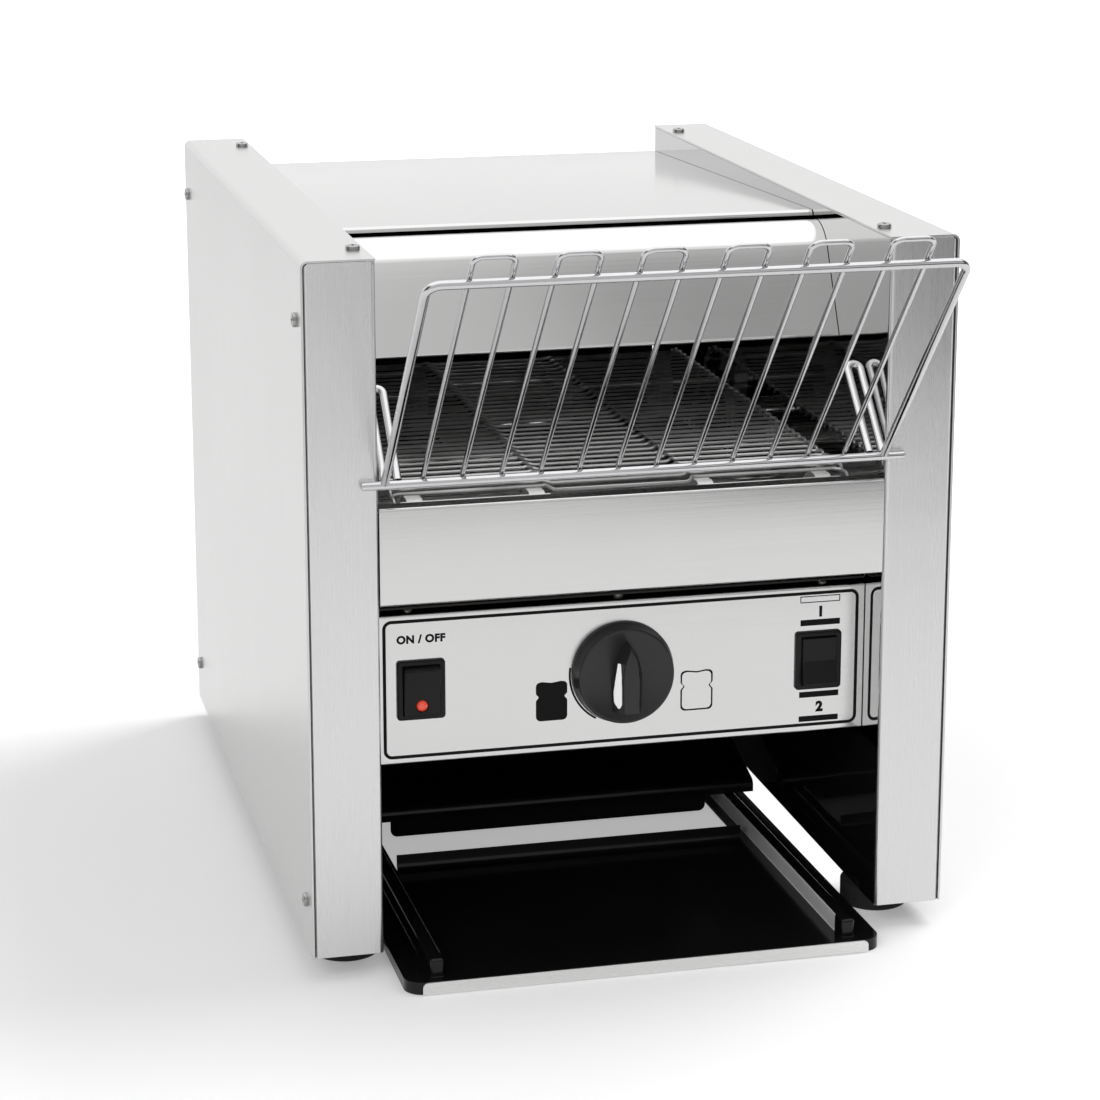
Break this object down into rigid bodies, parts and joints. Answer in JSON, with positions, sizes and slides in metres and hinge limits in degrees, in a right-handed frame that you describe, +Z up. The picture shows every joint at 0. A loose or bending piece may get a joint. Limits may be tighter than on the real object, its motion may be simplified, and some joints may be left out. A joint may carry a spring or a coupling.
{
  "type": "conveyor toaster",
  "caption": "Countertop conveyor toaster: a wire belt carries bread under quartz tubes and drops it on a chute to a pull-out tray.",
  "frame": {"origin": "on the counter, under the middle of the whole object's bounding box", "axes": "+X to the right seen from the front, +Y to the rear, +Z up"},
  "size_m": [0.3446, 0.5824, 0.3954],
  "materials": {
    "case_steel": "satin stainless sheet",
    "polished_steel": "polished stainless sheet",
    "wire_steel": "plain steel wire",
    "rod_chrome": "chrome plated rod",
    "black_enamel": "gloss black coating",
    "black_gloss": "moulded black plastic",
    "black_knob": "moulded black plastic",
    "white_mark": "white paint",
    "red_lens": "red lens",
    "quartz": "quartz tube",
    "ceramic": "unglazed ceramic",
    "plated_steel": "zinc plated sheet",
    "gear_alloy": "die cast alloy",
    "motor_paint": "black paint",
    "shaft_steel": "turned steel",
    "bearing_bronze": "sintered bronze",
    "screw_steel": "stainless screws",
    "board_green": "circuit board",
    "block_white": "moulded nylon",
    "foot_rubber": "black rubber"
  },
  "bodies": {
    "toaster": {"control_board": "board_green", "control_panel": "case_steel", "conveyor_belt": "wire_steel", "drive_chain": "shaft_steel", "electrics_tray": "plated_steel", "foot_left_front": "foot_rubber", "foot_left_rear": "foot_rubber", "foot_right_front": "foot_rubber", "foot_right_rear": "foot_rubber", "foot_screws": "screw_steel", "front_fascia": "case_steel", "front_rail": "case_steel", "gearbox": "gear_alloy", "heat_shield": "plated_steel", "hood": "case_steel", "left_inner_frame": "polished_steel", "left_side_cover": "case_steel", "lower_heating_tubes": "quartz", "mains_gland": "black_gloss", "motor_can": "motor_paint", "motor_screws": "screw_steel", "plate_screws": "screw_steel", "power_switch_housing": "black_gloss", "rear_panel": "case_steel", "rear_screws": "screw_steel", "right_inner_frame": "polished_steel", "right_side_cover": "case_steel", "selector_switch_housing": "black_gloss", "shaft_bushes": "bearing_bronze", "side_screws": "screw_steel", "speed_control": "black_gloss", "terminal_block": "block_white", "toast_chute": "black_enamel", "toast_deflector": "black_enamel", "top_cover": "case_steel", "top_screws": "screw_steel", "tube_ceramics": "ceramic", "upper_heating_tubes": "quartz", "upper_reflector": "plated_steel"},
    "toast_tray": {"toast_tray": "black_enamel", "tray_lip": "case_steel"},
    "feed_rack": {"rack_cross_rod": "rod_chrome", "rack_frame": "rod_chrome", "rack_wires": "rod_chrome", "rack_legs": "rod_chrome"},
    "speed_knob": {"control_knob": "black_knob", "knob_pointer": "white_mark", "control_spindle": "shaft_steel"},
    "power_rocker": {"power_rocker": "black_gloss", "power_lamp": "red_lens"},
    "selector_rocker": {"selector_rocker": "black_gloss"},
    "drive_shaft": {"drive_shaft": "shaft_steel", "drive_sprockets": "wire_steel", "chain_sprocket": "shaft_steel"},
    "front_shaft": {"front_shaft": "shaft_steel", "front_sprockets": "wire_steel"},
    "motor_shaft": {"motor_shaft": "shaft_steel", "motor_sprocket": "shaft_steel"}
  },
  "joints": [
    {"name": "tray_slide", "type": "slide", "parent": "toaster", "child": "toast_tray", "axis": [0, -1, 0], "range_m": [-0.02, 0.23]},
    {"name": "rack_slide", "type": "slide", "parent": "toaster", "child": "feed_rack", "axis": [0, -1, 0], "range_m": [0, 0.08]},
    {"name": "knob_turn", "type": "hinge", "parent": "toaster", "child": "speed_knob", "pos_m": [0, -0.14331, 0.1455], "axis": [0, 1, 0], "range_deg": [-135, 135]},
    {"name": "power_rock", "type": "hinge", "parent": "toaster", "child": "power_rocker", "pos_m": [-0.1072, -0.14401, 0.144], "axis": [1, 0, 0], "range_deg": [-16, 0]},
    {"name": "selector_rock", "type": "hinge", "parent": "toaster", "child": "selector_rocker", "pos_m": [0.1072, -0.14401, 0.144], "axis": [1, 0, 0], "range_deg": [0, 16]},
    {"name": "drive_spin", "type": "hinge", "parent": "toaster", "child": "drive_shaft", "pos_m": [0, 0.17569, 0.2265], "axis": [1, 0, 0], "continuous": true},
    {"name": "front_spin", "type": "hinge", "parent": "toaster", "child": "front_shaft", "pos_m": [0, -0.13431, 0.2265], "axis": [1, 0, 0], "continuous": true},
    {"name": "motor_spin", "type": "hinge", "parent": "toaster", "child": "motor_shaft", "pos_m": [0.14, 0.06069, 0.15], "axis": [1, 0, 0], "continuous": true}
  ],
  "couplings": [
    {"joint": "front_spin", "follows": "drive_spin", "ratio": 1},
    {"joint": "motor_spin", "follows": "drive_spin", "ratio": 1.5}
  ]
}
